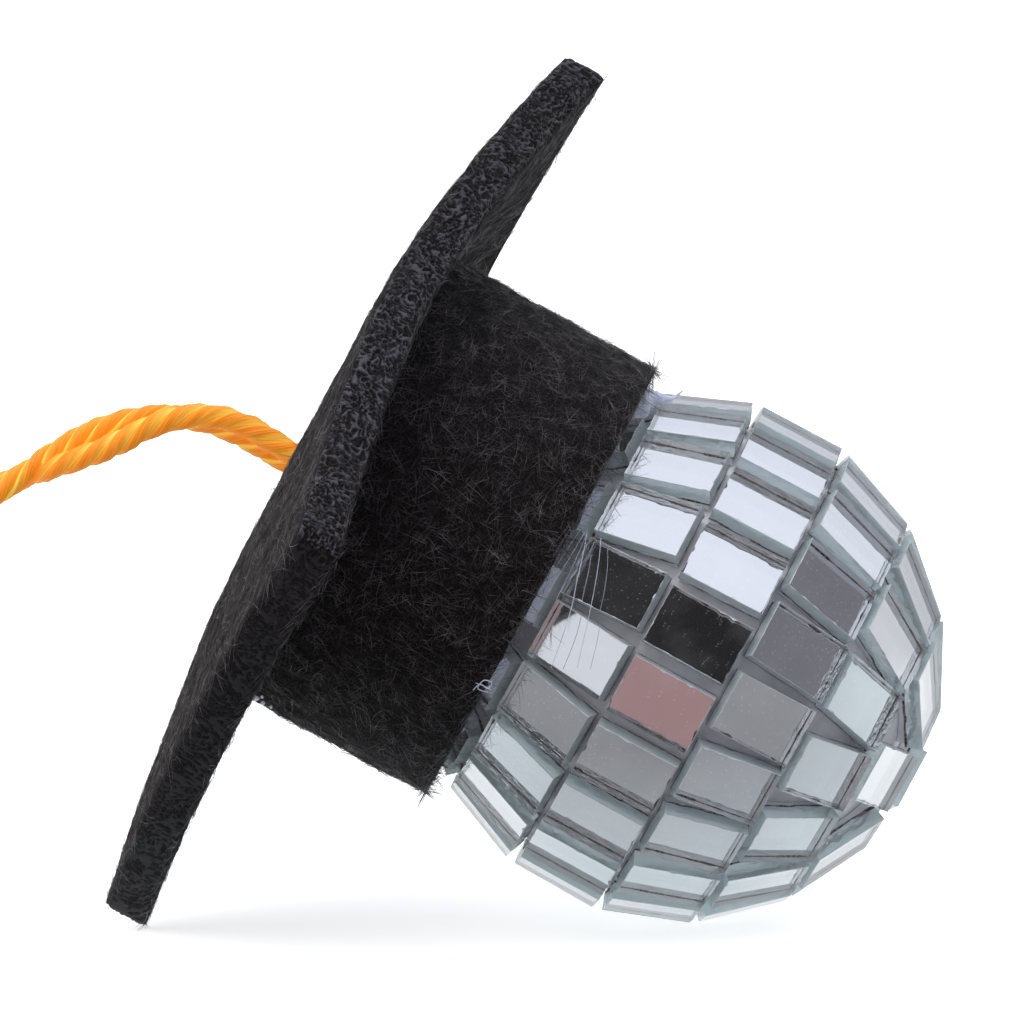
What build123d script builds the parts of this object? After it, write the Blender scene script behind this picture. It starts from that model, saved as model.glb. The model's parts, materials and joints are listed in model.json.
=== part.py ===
"""Mirror ball ornament wearing a felt graduation cap, lying on its side on the ball and one corner of the cap's board. Millimetres, Z up."""

import math
import os
import random

from build123d import *

os.makedirs("parts", exist_ok=True)

# the ball
face_radius = 15.85  # centre of a tile's face from the ball's centre
tile_thick = 1.15
tile_long = 5.45  # along the meridian
tile_wide = 3.8  # round the ball
pad_long = 5.1
pad_wide = 3.45
pad_depth = 0.8  # more than the adhesive's depth at its corners
pad_least = 0.25  # adhesive under the middle of a tile
core_clearance = 0.03  # adhesive off the core
back_radius = face_radius - tile_thick
core_radius = back_radius - pad_least
tile_reach = math.hypot(face_radius, tile_long / 2, tile_wide / 2)  # a tile's corners

# the cap, measured along its own axis from the ball's centre
band_radius = 14.75
band_wall = 1.7
band_seat = 0.095  # the band's rim off the tiles' corners
band_tall = 13.95
board_thick = 2.8
board_side = 43.0
board_corner = 1.5
board_shift = 0.8  # the board is glued on a little low of the band's middle
board_flat = 6.0  # the top face bends down beyond this radius
board_rest = 0.15  # the under face bends down this far outside the band
board_droop_top = 3.4  # at the square's half diagonal
board_droop_under = 3.1
hole_radius = 1.5
glue_clearance = 0.3  # glue beads off curved felt
rim_glue_clearance = 0.2  # the rim bead off the tiles' corners
rim_glue_wide = 1.25
rim_glue_tall = 2.2
board_glue_wide = 1.5
board_glue_deep = 1.6
band_inside = band_radius - band_wall
band_rim = ((tile_reach + band_seat) ** 2 - band_inside**2) ** 0.5
board_under = band_rim + band_tall
board_top = board_under + board_thick

# the cord
cord_diameter = 1.4
leg_offset = 0.71  # each leg off the hole's axis
knot_radius = 2.4
knot_clearance = 0.11  # knot off the hole's edge
cord_clearance = 0.1  # the legs' ends off the knot
cord_rise = 3.0  # and stand up this far over the board

# the pose: the cap's axis rises to the left, and the board's lowest corner stands on the floor
tilt = math.radians(29.85)
ball_x = 9.66
ball_z = tile_reach

centre = Vector(ball_x, 0, ball_z)
axis = Vector(-math.cos(tilt), 0, math.sin(tilt))
across = Vector(math.sin(tilt), 0, math.cos(tilt))
side = Vector(0, 1, 0)
cap_axis = Axis(centre, axis)
board_centre = centre - across * board_shift
board_axis = Axis(board_centre, axis)


def at(foot, height):
    """The plane square to the cap's axis at this height over a point beside the ball's centre."""
    return Plane(origin=foot + axis * height, x_dir=across, z_dir=axis)


# name, polar angle from the cap's pole, number of tiles, first tile's angle round the axis
rows = [
    ("near_pole", 24.0, 5, 10.0),
    ("cap_row", 45.6, 13, 4.0),
    ("upper_row", 67.4, 20, 15.0),
    ("equator_row", 89.2, 21, 13.2),
    ("lower_row", 111.0, 20, 3.6),
    ("far_row", 132.4, 15, 21.4),
    ("end_row", 153.8, 7, 3.0),
]
looseness = {"near_pole": 0.6, "cap_row": 1.0, "upper_row": 0.5, "equator_row": 1.0, "lower_row": 0.8, "far_row": 0.6, "end_row": 0.8}
poles = [("pole_tile", 0.0, 18.0), ("end_tile", 180.0, 12.0)]

scatter = random.Random(27)


def seat(polar, azimuth, loose):
    """The plane on a tile's back, its x along the meridian and its z outward. Tiles are set by hand, so each is a little off."""
    th = math.radians(polar)
    ph = math.radians(azimuth)
    ring = side * -math.cos(ph) + across * math.sin(ph)
    out = axis * math.cos(th) + ring * math.sin(th)
    down = ring * math.cos(th) - axis * math.sin(th)
    round_it = out.cross(down)
    tip = math.radians(scatter.uniform(-0.7, 0.7)) * loose
    lean = math.radians(scatter.uniform(-0.8, 0.8)) * loose
    turn = math.radians(scatter.uniform(-0.9, 0.9)) * loose
    slide = scatter.uniform(-0.025, 0.025) * loose
    out2 = (out + down * tip + round_it * lean).normalized()
    x2 = down + round_it * turn
    x2 = (x2 - out2 * x2.dot(out2)).normalized()
    where = centre + out * back_radius + down * slide
    return Plane(origin=where, x_dir=x2, z_dir=out2)


made = []

for name, polar, count, first in rows:
    seats = [seat(polar, first + 360.0 * k / count, looseness[name]) for k in range(count)]

    with BuildPart() as tiles:
        for place in seats:
            with BuildSketch(place):
                Rectangle(tile_long, tile_wide)
            extrude(amount=tile_thick)
    tiles.part.label = name + "_tiles"
    made.append(tiles.part)

    with BuildPart() as pads:
        for place in seats:
            with BuildSketch(place):
                Rectangle(pad_long, pad_wide)
            extrude(amount=-pad_depth)
        with Locations(centre):
            Sphere(core_radius + core_clearance, mode=Mode.SUBTRACT)
    pads.part.label = name + "_adhesive"
    made.append(pads.part)

for name, polar, twist in poles:
    place = seat(polar, twist, 0.4)

    with BuildPart() as tile:
        with BuildSketch(place):
            Rectangle(tile_long, tile_wide)
        extrude(amount=tile_thick)
    tile.part.label = name
    made.append(tile.part)

    with BuildPart() as pad:
        with BuildSketch(place):
            Rectangle(pad_long, pad_wide)
        extrude(amount=-pad_depth)
        with Locations(centre):
            Sphere(core_radius + core_clearance, mode=Mode.SUBTRACT)
    pad.part.label = name + "_adhesive"
    made.append(pad.part)

with BuildPart() as core:
    with Locations(centre):
        Sphere(core_radius)
core.part.label = "foam_core"
made.append(core.part)

# the felt strip of the band, glued into a ring
with BuildPart() as band:
    with BuildSketch(at(centre, band_rim)):
        Circle(band_radius)
        Circle(band_inside, mode=Mode.SUBTRACT)
    extrude(amount=band_tall)
band.part.label = "hat_band"
made.append(band.part)

# the felt board, flat on the band and bending down from there to its corners
half_diagonal = board_side * 0.5**0.5
reach = half_diagonal + 1.0
under_flat = band_radius + board_shift + board_rest
profile = Plane(origin=board_centre, x_dir=across, z_dir=across.cross(axis))


def drop(radius, start, depth, power):
    """How far a face has bent down at this radius."""
    return depth * (max(radius - start, 0.0) / (half_diagonal - start)) ** power


def run(start):
    """Radii from where a bend starts to past the corners."""
    return [start + (reach - start) * share for share in (0.0, 0.25, 0.5, 0.75, 1.0)]


top_bend = [(r, board_top - drop(r, board_flat, board_droop_top, 2.0)) for r in run(board_flat)[::-1]]
low_bend = [(r, board_under - drop(r, under_flat, board_droop_under, 1.3)) for r in run(under_flat)]
with BuildPart() as board:
    with BuildSketch(profile):
        with BuildLine():
            Line((hole_radius, board_under), low_bend[0])
            Spline(low_bend, tangents=[(1, 0), (1, -0.27)])
            Line(low_bend[-1], top_bend[0])
            Spline(top_bend, tangents=[(-1, 0.29), (-1, 0)])
            Line(top_bend[-1], (hole_radius, board_top))
            Line((hole_radius, board_top), (hole_radius, board_under))
        make_face()
    revolve(axis=board_axis)
    with BuildSketch(at(board_centre, board_under - 2 * board_droop_under)):
        RectangleRounded(board_side, board_side, board_corner, rotation=45)
    extrude(amount=2 * board_droop_under + 2 * board_thick, mode=Mode.INTERSECT)
board.part.label = "hat_board"
made.append(board.part)

# hot melt glue: a bead between the band's inside and the tiles, and one in the corner under the board
bead_out = band_inside - glue_clearance
bead_in = bead_out - rim_glue_wide
bead_far = tile_reach + rim_glue_clearance
bead_foot = (bead_far**2 - bead_in**2) ** 0.5
bead_low = ((bead_far + rim_glue_clearance) ** 2 - bead_out**2) ** 0.5
cap_profile = Plane(origin=centre, x_dir=across, z_dir=across.cross(axis))
with BuildPart() as rim_glue:
    with BuildSketch(cap_profile):
        Polygon((bead_out, bead_low), (bead_out, bead_low + rim_glue_tall), (bead_in, bead_foot), align=None)
    revolve(axis=cap_axis)
rim_glue.part.label = "rim_glue"
made.append(rim_glue.part)

with BuildPart() as board_glue:
    corner = (bead_out, board_under)
    with BuildSketch(cap_profile):
        Polygon(corner, (bead_out, board_under - board_glue_deep), (bead_out - board_glue_wide, board_under), align=None)
    revolve(axis=cap_axis)
board_glue.part.label = "board_glue"
made.append(board_glue.part)

# the stop knot, drawn up against the edge of the board's hole
knot_drop = ((knot_radius + knot_clearance) ** 2 - hole_radius**2) ** 0.5
knot_top = board_under - knot_drop + knot_radius
with BuildPart() as knot:
    with Locations(board_centre + axis * (board_under - knot_drop)):
        Sphere(knot_radius)
knot.part.label = "cord_knot"
made.append(knot.part)

# the cord: up out of the hole, over, down to the floor, round the loop's end and back beside itself
start = board_centre + axis * (knot_top + cord_clearance)
rise = board_centre + axis * (board_top + cord_rise)
leg = [
    (start.X, leg_offset, start.Z),
    (rise.X, leg_offset, rise.Z),
    (-22.2, 0.95, 31.75),
    (-32.5, 1.15, 27.85),
    (-40.5, 1.6, 22.0),
    (-46.8, 2.4, 13.2),
    (-51.5, 3.4, 0.9),
    (-62.0, 5.0, 0.8),
    (-71.5, 7.0, 0.9),
    (-79.5, 4.35, 0.8),
]
route = [(x, -y, z) for x, y, z in leg] + leg[::-1]


def bends(points):
    """The radius of each bend, from the shorter of its two runs."""
    found = []
    for a, b, c in zip(points, points[1:], points[2:]):
        one, two = Vector(*b) - Vector(*a), Vector(*c) - Vector(*b)
        half = math.radians(one.get_angle(two)) / 2
        found.append(0.45 * min(one.length, two.length) / math.tan(half))
    return found


radii = bends(route)
print("cord bend radii", [round(r, 1) for r in radii])
with BuildPart() as cord:
    with BuildLine() as line:
        FilletPolyline(*route, radius=radii)
    with BuildSketch(Plane(origin=route[0], z_dir=axis)):
        Circle(cord_diameter / 2)
    sweep()
long = sum(piece.length for piece in line.edges())
full = long * math.pi * cord_diameter**2 / 4
print("cord length", round(long, 1), "volume over section times length", round(cord.part.volume / full, 3))
cord.part.label = "hanging_cord"
made.append(cord.part)

for piece in made:
    export_step(piece, "parts/" + piece.label + ".step")
    box = piece.bounding_box()
    print(piece.label, len(piece.solids()), [round(v, 3) for v in (*box.min, *box.max)])

boxes = [p.bounding_box() for p in made if p.label != "hanging_cord"]
low = [min(tuple(b.min)[i] for b in boxes) for i in range(3)]
high = [max(tuple(b.max)[i] for b in boxes) for i in range(3)]
print("without the cord", [round(v, 3) for v in low], [round(v, 3) for v in high])
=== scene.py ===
"""Mirror ball ornament in a felt graduation cap, lying on a pale table. Metres, Z up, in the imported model's frame."""

import json
import math
import random

import bpy
import numpy as np
from mathutils import Matrix, Vector, noise


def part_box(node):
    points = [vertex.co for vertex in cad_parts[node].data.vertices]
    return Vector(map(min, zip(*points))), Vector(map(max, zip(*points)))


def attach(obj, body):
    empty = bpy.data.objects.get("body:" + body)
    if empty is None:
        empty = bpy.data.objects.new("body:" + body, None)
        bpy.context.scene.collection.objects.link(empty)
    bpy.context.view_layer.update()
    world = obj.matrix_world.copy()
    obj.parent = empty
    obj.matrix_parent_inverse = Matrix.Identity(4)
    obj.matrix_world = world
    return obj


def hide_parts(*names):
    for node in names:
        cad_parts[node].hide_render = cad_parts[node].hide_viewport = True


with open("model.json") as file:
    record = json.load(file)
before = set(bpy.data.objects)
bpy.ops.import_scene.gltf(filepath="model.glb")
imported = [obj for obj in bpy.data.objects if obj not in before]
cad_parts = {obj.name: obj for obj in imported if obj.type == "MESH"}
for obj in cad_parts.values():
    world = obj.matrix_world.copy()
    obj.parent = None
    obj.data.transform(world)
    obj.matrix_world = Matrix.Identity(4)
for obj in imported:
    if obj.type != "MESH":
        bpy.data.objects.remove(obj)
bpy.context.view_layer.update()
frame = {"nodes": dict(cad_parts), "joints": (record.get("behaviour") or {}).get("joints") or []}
nodes = frame["nodes"]
scene = bpy.context.scene

# ---------------------------------------------------------------- the ball's and the cap's shared axis
# The cap is glued on along the ball's own axis, which lies 28.65 degrees over the table.
# Everything below is placed by it: "across" is the board's upright diagonal, "side" the level one.
joint = frame["joints"][0]
AXIS = np.array(joint["axis"], float)
AXIS /= np.linalg.norm(AXIS)
core_low, core_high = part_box("foam_core")
CENTRE = (np.array(core_low) + np.array(core_high)) / 2
SIDE = np.array([0.0, 1.0, 0.0])
ACROSS = np.cross(SIDE, AXIS)
MM = 0.001

# ---------------------------------------------------------------- shared material groups
# Fine speckle and soft cloudiness, used by the tiles and the felt: they only give out values.


def value_group(name, outputs):
    tree = bpy.data.node_groups.new(name, "ShaderNodeTree")
    for label in outputs:
        tree.interface.new_socket(label, in_out="OUTPUT", socket_type="NodeSocketFloat")
    out = tree.nodes.new("NodeGroupOutput")
    place = tree.nodes.new("ShaderNodeTexCoord")
    return tree, place, out


# Dust specks and film: they roughen the silver and set the painted glow of the glass faces.
dust_and_glow_group, place, out = value_group("dust_and_glow", ["Specks", "Film"])
specks = dust_and_glow_group.nodes.new("ShaderNodeTexVoronoi")
specks.inputs["Scale"].default_value = 2600
ramp = dust_and_glow_group.nodes.new("ShaderNodeMapRange")
ramp.inputs["From Min"].default_value = 0.16
ramp.inputs["From Max"].default_value = 0.05
film = dust_and_glow_group.nodes.new("ShaderNodeTexNoise")
film.inputs["Scale"].default_value = 420
film.inputs["Detail"].default_value = 4
dust_and_glow_group.links.new(place.outputs["Object"], specks.inputs["Vector"])
dust_and_glow_group.links.new(place.outputs["Object"], film.inputs["Vector"])
dust_and_glow_group.links.new(specks.outputs["Distance"], ramp.inputs["Value"])
dust_and_glow_group.links.new(ramp.outputs["Result"], out.inputs["Specks"])
dust_and_glow_group.links.new(film.outputs["Fac"], out.inputs["Film"])

felt_group, place, out = value_group("felt_matting", ["Height", "Tone"])
stretch = felt_group.nodes.new("ShaderNodeMapping")
stretch.inputs["Scale"].default_value = (1.0, 1.0, 0.35)
fine = felt_group.nodes.new("ShaderNodeTexNoise")
fine.inputs["Scale"].default_value = 5200
fine.inputs["Detail"].default_value = 3
fine.inputs["Distortion"].default_value = 1.6
broad = felt_group.nodes.new("ShaderNodeTexNoise")
broad.inputs["Scale"].default_value = 700
broad.inputs["Detail"].default_value = 5
blend = felt_group.nodes.new("ShaderNodeMath")
blend.operation = "MULTIPLY_ADD"
blend.inputs[1].default_value = 0.6
felt_group.links.new(place.outputs["Object"], stretch.inputs["Vector"])
felt_group.links.new(stretch.outputs["Vector"], fine.inputs["Vector"])
felt_group.links.new(place.outputs["Object"], broad.inputs["Vector"])
felt_group.links.new(fine.outputs["Fac"], blend.inputs[0])
felt_group.links.new(broad.outputs["Fac"], blend.inputs[2])
felt_group.links.new(blend.outputs[0], out.inputs["Height"])
felt_group.links.new(broad.outputs["Fac"], out.inputs["Tone"])


strand_group, place, out = value_group("felt_strands", ["Strands"])
strongest = None
for number, tilt in enumerate(((0.0, 0.5, 0.0), (0.1, -0.9, 0.5), (0.3, 1.5, 0.2), (0.5, 0.4, 1.3), (0.9, -0.3, -0.7))):
    lie = strand_group.nodes.new("ShaderNodeMapping")
    lie.vector_type = "TEXTURE"
    lie.inputs["Location"].default_value = (0.01 * number, 0.0, 0.0)
    lie.inputs["Rotation"].default_value = tilt
    lie.inputs["Scale"].default_value = (0.0016, 0.00014, 0.00014)
    hair = strand_group.nodes.new("ShaderNodeTexNoise")
    hair.inputs["Scale"].default_value = 1.0
    hair.inputs["Detail"].default_value = 1.5
    hair.inputs["Distortion"].default_value = 0.6
    strand_group.links.new(place.outputs["Object"], lie.inputs["Vector"])
    strand_group.links.new(lie.outputs["Vector"], hair.inputs["Vector"])
    if strongest is None:
        strongest = hair.outputs["Fac"]
    else:
        most = strand_group.nodes.new("ShaderNodeMath")
        most.operation = "MAXIMUM"
        strand_group.links.new(strongest, most.inputs[0])
        strand_group.links.new(hair.outputs["Fac"], most.inputs[1])
        strongest = most.outputs[0]
thin = strand_group.nodes.new("ShaderNodeMapRange")
thin.inputs["From Min"].default_value = 0.60
thin.inputs["From Max"].default_value = 0.80
strand_group.links.new(strongest, thin.inputs["Value"])
strand_group.links.new(thin.outputs["Result"], out.inputs["Strands"])


def new_material(name):
    made = bpy.data.materials.new(name)
    made.use_nodes = True
    return made, made.node_tree, made.node_tree.nodes["Principled BSDF"]


def use(tree, group):
    node = tree.nodes.new("ShaderNodeGroup")
    node.node_tree = group
    return node


# ---------------------------------------------------------------- mirror tiles
# Each tile is a snapped piece of thin mirror glass: a flat clear face, rough broken sides that
# look pale aqua, small shells chipped off its edges, and the silver on its back. Dust on the face glows faintly as
# painted light.
glass_face, tree, bsdf = new_material("tile_glass_face")
bsdf.inputs["Base Color"].default_value = (0.97, 0.985, 0.985, 1)
bsdf.inputs["Transmission Weight"].default_value = 1.0
bsdf.inputs["IOR"].default_value = 1.5
bsdf.inputs["Roughness"].default_value = 0.0
dust_and_glow = use(tree, dust_and_glow_group)
smudge_glow = tree.nodes.new("ShaderNodeMapRange")
smudge_glow.inputs["From Min"].default_value = 0.45
smudge_glow.inputs["From Max"].default_value = 0.95
smudge_glow.inputs["To Min"].default_value = 0.02
smudge_glow.inputs["To Max"].default_value = 0.12
speckle = tree.nodes.new("ShaderNodeMath")
speckle.operation = "MULTIPLY_ADD"
speckle.inputs[1].default_value = 0.5
grey = tree.nodes.new("ShaderNodeCombineColor")
# Dust specks and a faint film on the face feed its emission, so every face glows a little: painted light that lifts the
# dark tiles.
bsdf.inputs["Emission Strength"].default_value = 0.22
tree.links.new(dust_and_glow.outputs["Film"], smudge_glow.inputs["Value"])
tree.links.new(dust_and_glow.outputs["Specks"], speckle.inputs[0])
tree.links.new(smudge_glow.outputs["Result"], speckle.inputs[2])
for channel in ("Red", "Green", "Blue"):
    tree.links.new(speckle.outputs[0], grey.inputs[channel])
tree.links.new(grey.outputs["Color"], bsdf.inputs["Emission Color"])

glass_side, tree, bsdf = new_material("tile_glass_side")
bsdf.inputs["Base Color"].default_value = (0.86, 0.955, 0.965, 1)
bsdf.inputs["Transmission Weight"].default_value = 0.5
bsdf.inputs["IOR"].default_value = 1.5
bsdf.inputs["Roughness"].default_value = 0.11
shells = tree.nodes.new("ShaderNodeTexNoise")
shells.inputs["Scale"].default_value = 3400
shells.inputs["Detail"].default_value = 2
bump = tree.nodes.new("ShaderNodeBump")
bump.inputs["Strength"].default_value = 0.5
bump.inputs["Distance"].default_value = 0.00008
place = tree.nodes.new("ShaderNodeTexCoord")
tree.links.new(place.outputs["Object"], shells.inputs["Vector"])
tree.links.new(shells.outputs["Fac"], bump.inputs["Height"])
tree.links.new(bump.outputs["Normal"], bsdf.inputs["Normal"])

backing, tree, bsdf = new_material("tile_backing_paint")
bsdf.inputs["Roughness"].default_value = 0.5
grit = tree.nodes.new("ShaderNodeTexNoise")
grit.inputs["Scale"].default_value = 5000
tint = tree.nodes.new("ShaderNodeValToRGB")
tint.color_ramp.elements[0].position = 0.35
tint.color_ramp.elements[0].color = (0.03, 0.02, 0.018, 1)
tint.color_ramp.elements[1].position = 0.65
tint.color_ramp.elements[1].color = (0.35, 0.27, 0.23, 1)
place = tree.nodes.new("ShaderNodeTexCoord")
tree.links.new(place.outputs["Object"], grit.inputs["Vector"])
tree.links.new(grit.outputs["Fac"], tint.inputs["Fac"])
tree.links.new(tint.outputs["Color"], bsdf.inputs["Base Color"])

silver, tree, bsdf = new_material("tile_silver")
bsdf.inputs["Base Color"].default_value = (0.93, 0.94, 0.96, 1)
bsdf.inputs["Metallic"].default_value = 1.0
bsdf.inputs["Roughness"].default_value = 0.02
dust_and_glow = use(tree, dust_and_glow_group)
rough = tree.nodes.new("ShaderNodeMapRange")
rough.inputs["To Min"].default_value = 0.012
rough.inputs["To Max"].default_value = 0.05
tree.links.new(dust_and_glow.outputs["Film"], rough.inputs["Value"])
tree.links.new(rough.outputs["Result"], bsdf.inputs["Roughness"])


def tile_boxes(node):
    """Each box of a CAD node: its back's centre, its three directions and its length, width and thickness."""
    mesh = nodes[node].data
    points = np.array([v.co for v in mesh.vertices], float)
    key = {}
    weld = np.array([key.setdefault(tuple(np.round(p, 6)), len(key)) for p in points])
    corners = np.array(list(key), float)
    joined = list(range(len(corners)))

    def root(i):
        while joined[i] != i:
            i = joined[i]
        return i

    for edge in mesh.edges:
        a, b = root(weld[edge.vertices[0]]), root(weld[edge.vertices[1]])
        joined[b] = a
    groups = {}
    for i in range(len(corners)):
        groups.setdefault(root(i), []).append(i)
    found = []
    for members in groups.values():
        p = corners[members]
        middle = p.mean(0)
        first = p[0]
        reach = sorted(p[1:] - first, key=np.linalg.norm)
        depth, width = reach[0], reach[1]
        square = [r for r in reach[2:] if max(abs(r @ e) / np.linalg.norm(e) for e in (depth, width)) < 0.02 * MM]
        length = square[0]
        size = [np.linalg.norm(e) for e in (length, width, depth)]
        z = depth / size[2]
        z = z if z @ (middle - CENTRE) > 0 else -z
        x = length / size[0]
        y = np.cross(z, x)
        found.append((middle - z * size[2] / 2, x, y, z, size))
    return sorted(found, key=lambda f: tuple(np.round(f[0], 5)))


def rough_line(rng, count, cells):
    """A closed run of count values from 0 to 1, random at this many places and smooth between them."""
    at = np.arange(count) * cells / count
    knots = rng.random(cells)
    low = at.astype(int)
    share = at - low
    share = share * share * (3 - 2 * share)
    return knots[low % cells] * (1 - share) + knots[(low + 1) % cells] * share


def build_tiles(node, seed):
    rng = np.random.default_rng(seed)
    verts, faces, slots = [], [], []
    for back, x, y, z, (long, wide, thick) in tile_boxes(node):
        n_long, n_wide = 30, 22
        hl, hw = long / 2, wide / 2
        line = [(-hl + long * k / n_long, -hw, 0, 1) for k in range(n_long)]
        line += [(hl, -hw + wide * k / n_wide, -1, 0) for k in range(n_wide)]
        line += [(hl - long * k / n_long, hw, 0, -1) for k in range(n_long)]
        line += [(-hl, hw - wide * k / n_wide, 1, 0) for k in range(n_wide)]
        line = np.array(line)
        count = len(line)
        inward = line[:, 2:].copy()
        inward += 0.5 * (np.roll(inward, 1, 0) + np.roll(inward, -1, 0))
        inward /= np.linalg.norm(inward, axis=1)[:, None]
        fine_bits = rough_line(rng, count, 52)
        chips = np.clip(rough_line(rng, count, 44) - 0.66, 0, 1) ** 1.1 * rough_line(rng, count, 7) * 0.55 * MM
        back_chips = np.clip(rough_line(rng, count, 36) - 0.6, 0, 1) ** 1.3 * 0.45 * MM
        paint = (0.02 + 0.13 * rough_line(rng, count, 30)) * MM
        wave = rough_line(rng, count, 15)
        rings = [
            (thick, 0.018 * MM + 0.03 * MM * fine_bits + chips),
            (thick - 0.03 * MM - 0.5 * chips, 0.004 * MM + 0.25 * chips + 0.012 * MM * fine_bits),
            (thick * 0.66 + 0.12 * MM * (wave - 0.5), 0.035 * MM * rough_line(rng, count, 40)),
            (thick * 0.3 + 0.1 * MM * (wave - 0.5), 0.035 * MM * rough_line(rng, count, 34)),
            (paint + 0.05 * MM + 0.6 * back_chips, 0.015 * MM + 0.02 * MM * rough_line(rng, count, 34)),
            (0.05 * MM + 0.6 * back_chips, 0.01 * MM + 0.02 * MM * rough_line(rng, count, 44)),
            (0.004 * MM + 0 * chips, 0.02 * MM + back_chips),
        ]
        start = len(verts)
        for height, inset in rings:
            height = np.broadcast_to(height, (count,))
            flat = line[:, :2] + inward * inset[:, None]
            ring = back + flat[:, :1] * x + flat[:, 1:2] * y + height[:, None] * z
            verts += [tuple(p) for p in ring]
        for r in range(len(rings) - 1):
            a, b = start + r * count, start + (r + 1) * count
            for k in range(count):
                m = (k + 1) % count
                faces.append((b + k, b + m, a + m, a + k))
                slots.append(1 if r < 4 else 3)
        faces.append(tuple(range(start, start + count)))
        slots.append(0)
        last = start + (len(rings) - 1) * count
        faces.append(tuple(reversed(range(last, last + count))))
        slots.append(2)
    mesh = bpy.data.meshes.new(node + "_glass")
    mesh.from_pydata(verts, [], faces)
    for material in (glass_face, glass_side, silver, backing):
        mesh.materials.append(material)
    mesh.polygons.foreach_set("material_index", slots)
    piece = bpy.data.objects.new(node + "_glass", mesh)
    scene.collection.objects.link(piece)
    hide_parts(node)
    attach(piece, "ball_and_cap")
    return piece


tile_nodes = [n for n in nodes if n.endswith("_tiles") or n in ("pole_tile", "end_tile")]
for number, name in enumerate(sorted(tile_nodes)):
    build_tiles(name, 100 + number)

# ---------------------------------------------------------------- adhesive and foam core
# White craft glue under each tile and the pale foam ball behind it, seen in the gaps between tiles.
glue_white, tree, bsdf = new_material("tile_adhesive")
bsdf.inputs["Base Color"].default_value = (0.90, 0.91, 0.94, 1)
bsdf.inputs["Roughness"].default_value = 0.45
bsdf.inputs["Subsurface Weight"].default_value = 0.0
foam, tree, bsdf = new_material("foam_bead_surface")
bsdf.inputs["Roughness"].default_value = 0.6
beads = tree.nodes.new("ShaderNodeTexVoronoi")
beads.inputs["Scale"].default_value = 900
place = tree.nodes.new("ShaderNodeTexCoord")
tint = tree.nodes.new("ShaderNodeValToRGB")
tint.color_ramp.elements[0].color = (0.93, 0.93, 0.95, 1)
tint.color_ramp.elements[1].color = (0.74, 0.74, 0.77, 1)
bump = tree.nodes.new("ShaderNodeBump")
bump.inputs["Distance"].default_value = 0.0001
bump.inputs["Strength"].default_value = 0.4
bump.invert = True
tree.links.new(place.outputs["Object"], beads.inputs["Vector"])
tree.links.new(beads.outputs["Distance"], tint.inputs["Fac"])
tree.links.new(tint.outputs["Color"], bsdf.inputs["Base Color"])
tree.links.new(beads.outputs["Distance"], bump.inputs["Height"])
tree.links.new(bump.outputs["Normal"], bsdf.inputs["Normal"])
for name, node in nodes.items():
    if name.endswith("_adhesive") or name == "foam_core":
        node.data.materials.clear()
        node.data.materials.append(foam if name == "foam_core" else glue_white)

# ---------------------------------------------------------------- black felt
# Stiff craft felt: black fibres pressed together, matt, with pale loose fibres on the faces and a
# foam-like net of bonded fibres on the cut edges, whose sunk pores are coloured dark as painted shade.
felt, tree, bsdf = new_material("black_felt")
bsdf.inputs["Roughness"].default_value = 0.95
bsdf.inputs["Specular IOR Level"].default_value = 0.12
bsdf.inputs["Sheen Weight"].default_value = 0.10
bsdf.inputs["Sheen Roughness"].default_value = 0.5
bsdf.inputs["Sheen Tint"].default_value = (0.75, 0.72, 0.72, 1)
matting = use(tree, felt_group)
strands = use(tree, strand_group)
tint = tree.nodes.new("ShaderNodeValToRGB")
tint.color_ramp.elements[0].position = 0.0
tint.color_ramp.elements[0].color = (0.0095, 0.0082, 0.0084, 1)
tint.color_ramp.elements[1].position = 1.0
tint.color_ramp.elements[1].color = (0.062, 0.056, 0.055, 1)
height = tree.nodes.new("ShaderNodeMath")
height.operation = "MULTIPLY_ADD"
height.inputs[1].default_value = 0.5
bump = tree.nodes.new("ShaderNodeBump")
bump.inputs["Strength"].default_value = 1.0
bump.inputs["Distance"].default_value = 0.00010
tree.links.new(strands.outputs["Strands"], tint.inputs["Fac"])
tree.links.new(tint.outputs["Color"], bsdf.inputs["Base Color"])
tree.links.new(matting.outputs["Height"], height.inputs[0])
tree.links.new(strands.outputs["Strands"], height.inputs[2])
tree.links.new(height.outputs[0], bump.inputs["Height"])
tree.links.new(bump.outputs["Normal"], bsdf.inputs["Normal"])

felt_cut, tree, bsdf = new_material("felt_cut_edge")
bsdf.inputs["Roughness"].default_value = 0.7
bsdf.inputs["Specular IOR Level"].default_value = 0.3
pore_shade = tree.nodes.new("ShaderNodeAttribute")
pore_shade.attribute_name = "pore_shade"
matting = use(tree, felt_group)
# The ramp darkens with the pore value, which also sets how far each pore sinks: painted shade in the hollows.
tint = tree.nodes.new("ShaderNodeValToRGB")
tint.color_ramp.elements[0].position = 0.0
tint.color_ramp.elements[0].color = (0.105, 0.101, 0.118, 1)
tint.color_ramp.elements[1].position = 0.8
tint.color_ramp.elements[1].color = (0.007, 0.0062, 0.0068, 1)
middle = tint.color_ramp.elements.new(0.4)
middle.color = (0.028, 0.026, 0.029, 1)
bump = tree.nodes.new("ShaderNodeBump")
bump.inputs["Strength"].default_value = 0.6
bump.inputs["Distance"].default_value = 0.00008
tree.links.new(pore_shade.outputs["Fac"], tint.inputs["Fac"])
tree.links.new(tint.outputs["Color"], bsdf.inputs["Base Color"])
tree.links.new(matting.outputs["Height"], bump.inputs["Height"])
tree.links.new(bump.outputs["Normal"], bsdf.inputs["Normal"])

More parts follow.
